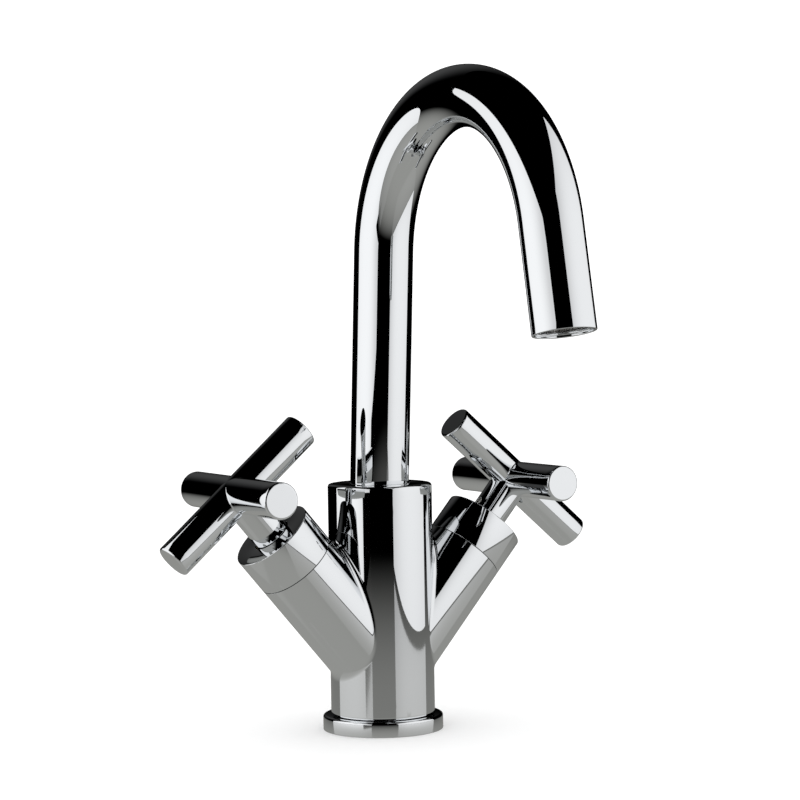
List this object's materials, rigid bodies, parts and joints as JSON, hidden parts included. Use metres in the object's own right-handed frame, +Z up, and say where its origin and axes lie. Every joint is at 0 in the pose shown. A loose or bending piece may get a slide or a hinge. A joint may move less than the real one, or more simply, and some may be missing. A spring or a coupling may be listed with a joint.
{
  "type": "two-handle basin mixer faucet",
  "caption": "Single-hole basin mixer: Y-shaped round body, two cross handles on slanted arms, and a high round gooseneck spout that swivels.",
  "frame": {"origin": "centre of the body's underside, on the deck", "axes": "+Z up along the body's axis, -Y towards the user, where the spout points at rest, -X the hot side and +X the cold side"},
  "size_m": [0.207, 0.1981, 0.2805],
  "materials": {
    "chrome_plate": "polished",
    "turned_brass": "turned",
    "stainless_steel": "turned",
    "black_rubber": "matte",
    "white_acetal": "moulded",
    "alumina_ceramic": "lapped ceramic"
  },
  "bodies": {
    "body": {"base_flange": "chrome_plate", "base_seal": "black_rubber", "body_casting": "chrome_plate", "cold_cartridge_housing": "turned_brass", "cold_cartridge_seal": "black_rubber", "cold_fixed_disc": "alumina_ceramic", "cold_inlet_seal": "black_rubber", "cold_valve_shroud": "chrome_plate", "hot_cartridge_housing": "turned_brass", "hot_cartridge_seal": "black_rubber", "hot_fixed_disc": "alumina_ceramic", "hot_inlet_seal": "black_rubber", "hot_valve_shroud": "chrome_plate", "spout_retaining_screw": "stainless_steel", "spout_slide_ring": "white_acetal"},
    "spout": {"aerator_housing": "chrome_plate", "aerator_insert": "white_acetal", "aerator_screen": "stainless_steel", "aerator_seal": "black_rubber", "spout_nipple": "turned_brass", "spout_seal_lower": "black_rubber", "spout_seal_upper": "black_rubber", "spout_tube": "chrome_plate"},
    "hot_handle": {"hot_cross_handle": "chrome_plate", "hot_handle_screw": "stainless_steel", "hot_moving_disc": "alumina_ceramic", "hot_spindle": "turned_brass", "hot_spindle_seal": "black_rubber", "hot_spline_sleeve": "white_acetal"},
    "cold_handle": {"cold_cross_handle": "chrome_plate", "cold_handle_screw": "stainless_steel", "cold_moving_disc": "alumina_ceramic", "cold_spindle": "turned_brass", "cold_spindle_seal": "black_rubber", "cold_spline_sleeve": "white_acetal"}
  },
  "joints": [
    {"name": "spout_swivel", "type": "hinge", "parent": "body", "child": "spout", "pos_m": [0, 0, 0.0975], "axis": [0, 0, 1], "continuous": true},
    {"name": "hot_valve_turn", "type": "hinge", "parent": "body", "child": "hot_handle", "pos_m": [-0.05293, 0, 0.08722], "axis": [-0.6534, 0, 0.757], "range_deg": [0, 90]},
    {"name": "cold_valve_turn", "type": "hinge", "parent": "body", "child": "cold_handle", "pos_m": [0.05293, 0, 0.08722], "axis": [0.6534, 0, 0.757], "range_deg": [-90, 0]}
  ]
}
